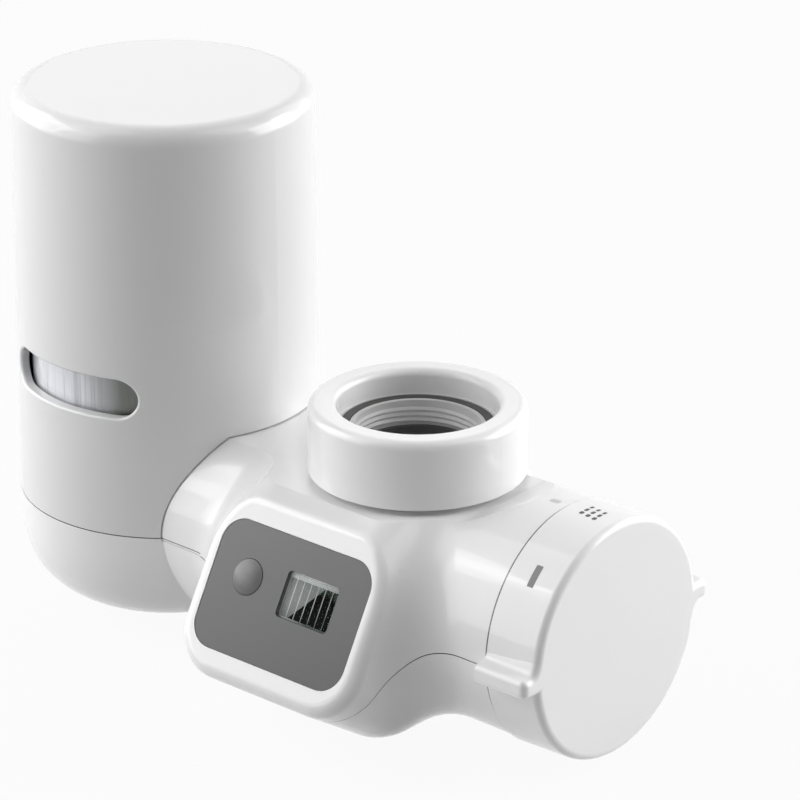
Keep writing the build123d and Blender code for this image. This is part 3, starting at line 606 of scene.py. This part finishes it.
def dial_marks():
    """Marks of the dial's positions: a spray of nine drops, a straight bar and a plain dot."""
    dial = frame['nodes']['selector_dial']
    row_pitch, row_turn = 1.5 * MM, 0.5
    corner_share = 0.42
    drops = []
    for row in (-1, 0, 1):
        # angle in degrees from the top, and the drop's length and width in millimetres
        for angle, length, width in ((3.9, 0.95, 0.80), (0.2, 1.10, 0.66), (-3.5, 1.00, 0.58)):
            drops.append(printed_mark(
                'drop', dial, MARK_X + row * row_pitch, math.radians(angle + row * row_turn),
                width * MM, length * MM, min(width, length) * corner_share * MM))
    dress(joined('spray_mark', drops), INK_DARK, 'selector')
    bar = printed_mark('bar_mark', dial, MARK_X, math.radians(45),
                       1.30 * MM, 4.05 * MM, 0.12 * MM, 15)
    dress(bar, INK_MID, 'selector')
    dot = printed_mark('dot_mark', dial, MARK_X, math.radians(-45),
                       2.2 * MM, 2.2 * MM, 0.98 * MM, 7)
    dress(dot, INK_MID, 'selector')


def body_mark():
    """Pale mark on the barrel that the dial's marks are turned to."""
    mark = printed_mark('index_mark', frame['nodes']['upper_housing'], INDEX_X, 0.0,
                        2.0 * MM, 1.3 * MM, 0.3 * MM)
    dress(mark, INK_PALE, 'base')


def thread_ridge(name, radius, height, low, turns, pitch, body, slot):
    """A screw thread: a small ridge wound round Z. A height below zero points to the axis."""
    triangle_r = 0.58 * pitch
    bpy.ops.mesh.primitive_circle_add(vertices=3, radius=triangle_r, fill_type='NGON',
                                      rotation=(math.pi / 2, 0, 0))
    ridge = take(name)
    settle(ridge)
    edit(ridge)
    bpy.ops.transform.rotate(value=math.pi / 2, orient_axis='Y', orient_type='GLOBAL',
                             center_override=(0, 0, 0))
    done()
    places = [vertex.co.x for vertex in ridge.data.vertices]
    tip = max(places, key=abs)
    flip = -1.0 if (tip > 0) != (height > 0) else 1.0
    squeeze = abs(height) / (max(places) - min(places)) * flip
    foot = min(abs(place) for place in places)
    sunk = 0.9                    # share of the foot that stays outside the wall
    shift = radius + math.copysign(foot, height) * abs(squeeze) * sunk
    ridge.data.transform(Matrix.Translation((shift, 0, low)) @ Matrix.Diagonal((squeeze, 1, 1, 1)))
    with_modifier(ridge, 'SCREW', screw_offset=pitch, iterations=turns, steps=72, render_steps=72,
                  use_merge_vertices=True, merge_threshold=0.0001 * MM)
    edit(ridge)
    bpy.ops.mesh.fill_holes(sides=4)
    done()
    outward(ridge)
    bpy.ops.object.shade_smooth_by_angle(angle=math.radians(40))
    dress(ridge, FINISHES[slot], body)


def stepped_tube(name, rings, closed):
    """Upright tube on the cartridge's axis through rings of (height, radius), lowest first.

    The two lowest rings have the same radius.
    """
    (low, radius), (high, _) = rings[:2]
    bpy.ops.mesh.primitive_cylinder_add(vertices=128, radius=radius, depth=high - low,
                                        location=(COVER_X, 0, (low + high) / 2),
                                        end_fill_type='NGON' if closed else 'NOTHING')
    tube = take(name)
    settle(tube)
    edit(tube, lambda place: place.z > high - JUST)
    for (below, before), (above, after) in zip(rings[1:], rings[2:]):
        bpy.ops.mesh.extrude_region_move(TRANSFORM_OT_translate={'value': (0, 0, above - below)})
        bpy.ops.transform.resize(value=(after / before, after / before, 1),
                                 center_override=(COVER_X, 0, 0))
    done()
    outward(tube)
    return tube


def cartridge_pieces():
    """The clear case and its fibres, wider above the barrel, where the cover leaves room."""
    case = stepped_tube('case_clear', [
        (CASE_LOW, CASE_R), (STEP_LOW, CASE_R), (STEP_HIGH, CASE_WIDE_R),
        (SHOULDER_Z, CASE_WIDE_R), (CASE_TOP, CASE_R)], False)
    with_modifier(case, 'SOLIDIFY', thickness=CASE_WALL, offset=-1.0)
    bpy.ops.object.shade_smooth_by_angle(angle=math.radians(30))
    dress(case, FINISHES['clear_case'], 'cartridge')
    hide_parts('cartridge_case')
    bundle = stepped_tube('fibres', [
        (FIBRES_LOW, FIBRES_R), (STEP_LOW, FIBRES_R), (STEP_HIGH, FIBRES_WIDE_R),
        (SHOULDER_Z, FIBRES_WIDE_R), (FIBRES_TOP, FIBRES_R)], True)
    pick(bundle)
    bpy.ops.object.shade_smooth_by_angle(angle=math.radians(30))
    dress(bundle, FINISHES['fibre'], 'cartridge')
    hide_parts('fibre_bundle')


def cross_screw():
    """A screw along Z, with a domed head that stands on the origin and has a cross recess."""
    bpy.ops.mesh.primitive_cylinder_add(vertices=40, radius=SCREW_HEAD_D / 2, depth=SCREW_HEAD_H,
                                        location=(0, 0, SCREW_HEAD_H / 2))
    head = take('head')
    settle(head)
    edit(head, lambda place: place.z > SCREW_HEAD_H - JUST)
    bpy.ops.mesh.bevel(offset=SCREW_HEAD_H * 0.45, segments=4, affect='EDGES')
    done()
    for turn in (0, math.pi / 2):
        bpy.ops.mesh.primitive_cube_add(size=1.0, location=(0, 0, SCREW_HEAD_H),
                                        rotation=(0, 0, turn))
        cutter = take('recess')
        cutter.scale = (SCREW_HEAD_D * 0.52, SCREW_HEAD_D * 0.13, SCREW_HEAD_H * 1.1)
        settle(cutter)
        with_modifier(head, 'BOOLEAN', object=cutter, operation='DIFFERENCE', solver='EXACT')
        bpy.data.objects.remove(cutter)
    into_head = 0.02 * MM
    bpy.ops.mesh.primitive_cylinder_add(vertices=24, radius=SCREW_D / 2, depth=SCREW_LEN,
                                        location=(0, 0, into_head - SCREW_LEN / 2))
    shank = take('shank')
    settle(shank)
    edit(shank, lambda place: place.z < -SCREW_LEN / 2)
    bpy.ops.transform.resize(value=(0.3, 0.3, 1), center_override=(0, 0, -SCREW_LEN))
    done()
    return joined('screw', [head, shank])


def housing_screws():
    """The four screws that close the housing, with their heads down."""
    screw = cross_screw()
    head_down = Vector((0, 0, 1)).rotation_difference(Vector((0, 0, -1))).to_matrix().to_4x4()
    screws = []
    for place in SCREW_PLACES:
        copy = screw.copy()
        copy.data = screw.data.copy()
        bpy.context.scene.collection.objects.link(copy)
        copy.data.transform(Matrix.Translation(Vector(place) * MM) @ head_down)
        screws.append(copy)
    bpy.data.objects.remove(screw)
    group = joined('housing_screw_set', screws)
    bpy.ops.object.shade_smooth_by_angle(angle=math.radians(35))
    dress(group, FINISHES['screw_steel'], 'base')
    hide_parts('housing_screws')


dial_marks()
body_mark()
cartridge_pieces()
housing_screws()
thread_ridge('adapter_thread', ADAPTER_BORE_R, -0.3 * MM, -4.1 * MM, 3, 1.0 * MM,
             'adapter', 'adapter_plastic')
thread_ridge('neck_thread', NECK_R, 0.2 * MM, -7.9 * MM, 3, 1.4 * MM, 'base', 'white_shell')


# ---------------------------------------------------------------- stage

FLOOR_SIZE = 6.0
FLOOR_GAP = 0.2 * MM
FLOOR_GLOW = 0.94              # share of plain white in what the camera sees of the floor
WORLD_LIGHT = 0.03             # strength of the world as a light
LAMP_TARGET = Vector((-0.02, 0, -0.005))
CAMERA_AZIMUTH = 41.204        # degrees
CAMERA_RISE = 22.657
CAMERA_DISTANCE = 712.449      # mm
CAMERA_LEFT = 3.059            # mm, from the origin to the middle of the picture, level
CAMERA_UP = 4.557              # mm


def stage_floor():
    """Pale floor under the object; camera and mirrors see it nearly as white as the background."""
    level = cad_box[0].z - FLOOR_GAP
    bpy.ops.mesh.primitive_plane_add(size=FLOOR_SIZE, location=(0, 0, level))
    floor = take('floor')
    finish = Finish('floor_white', Specular_IOR_Level=0.0)
    finish.set('Base Color', grey(0.55))
    finish.set('Roughness', 0.9)
    glow = finish.node('ShaderNodeEmission', {}, {'Color': grey(1.0), 'Strength': 1.0})
    plain = Value(finish, finish.shader.outputs[0])
    share = finish.in_view() * FLOOR_GLOW
    surface = finish.node('ShaderNodeMixShader', {}, {0: share, 1: plain, 2: glow})
    finish.feed(finish.nodes.nodes['Material Output'].inputs['Surface'], surface)
    floor.data.materials.append(finish.material)


def stage_world():
    """Faint light from all round, and a white background for the camera, mirrors and glass."""
    world = bpy.data.worlds.new('white_room')
    world.use_nodes = True
    bpy.context.scene.world = world
    tree = Tree(world.node_tree)
    background = tree.nodes.nodes['Background']
    tree.feed(background.inputs['Color'], grey(1.0))
    tree.feed(background.inputs['Strength'], tree.in_view() * (1 - WORLD_LIGHT) + WORLD_LIGHT)


def direction(azimuth, rise):
    """Unit vector towards an azimuth and a rise above level, in degrees.

    Azimuth 0 is on the display's side and 90 on the dial's.
    """
    azimuth, rise = math.radians(azimuth), math.radians(rise)
    level = math.cos(rise)
    return Vector((math.sin(azimuth) * level, -math.cos(azimuth) * level, math.sin(rise)))


def aimed(name, data, target, back):
    """Places a lamp or camera at an offset from its target and points it at the target."""
    holder = bpy.data.objects.new(name, data)
    bpy.context.scene.collection.objects.link(holder)
    holder.location = target + back
    holder.rotation_euler = back.to_track_quat('Z', 'Y').to_euler()
    return holder


def lamp(name, azimuth, rise, distance, width, height, power):
    """A soft rectangular lamp aimed at the middle of the object."""
    light = bpy.data.lights.new(name, 'AREA')
    light.shape = 'RECTANGLE'
    light.size = width
    light.size_y = height
    light.energy = power
    aimed(name, light, LAMP_TARGET, direction(azimuth, rise) * distance)


def stage_camera():
    """Camera that looks at the object as the photograph does."""
    turn = math.radians(CAMERA_AZIMUTH)
    target = Vector((-CAMERA_LEFT * math.cos(turn), -CAMERA_LEFT * math.sin(turn), CAMERA_UP)) * MM
    data = bpy.data.cameras.new('camera')
    data.sensor_width = 36.0
    data.sensor_fit = 'HORIZONTAL'
    data.lens = 186.86
    data.clip_start = 0.01
    back = direction(CAMERA_AZIMUTH, CAMERA_RISE) * CAMERA_DISTANCE * MM
    bpy.context.scene.camera = aimed('camera', data, target, back)


stage_floor()
stage_world()
# name, azimuth and rise in degrees, distance, width and height in metres, power in watts
lamp('left', -29, 15, 0.75, 0.45, 0.8, 2.05)
lamp('left_back', -69, 18, 0.75, 0.7, 0.8, 4.9)
lamp('back', -119, 45, 0.85, 0.8, 0.8, 0.9)
lamp('right', 139, 8, 0.70, 0.57, 0.8, 6.7)
lamp('right_back', 169, 20, 0.75, 0.5, 0.8, 1.3)
lamp('top_left', -44, 55, 0.85, 0.6, 0.6, 1.7)
lamp('top_right', 116, 50, 0.85, 0.5, 0.6, 1.3)
stage_camera()
bpy.context.scene.view_settings.view_transform = 'Standard'
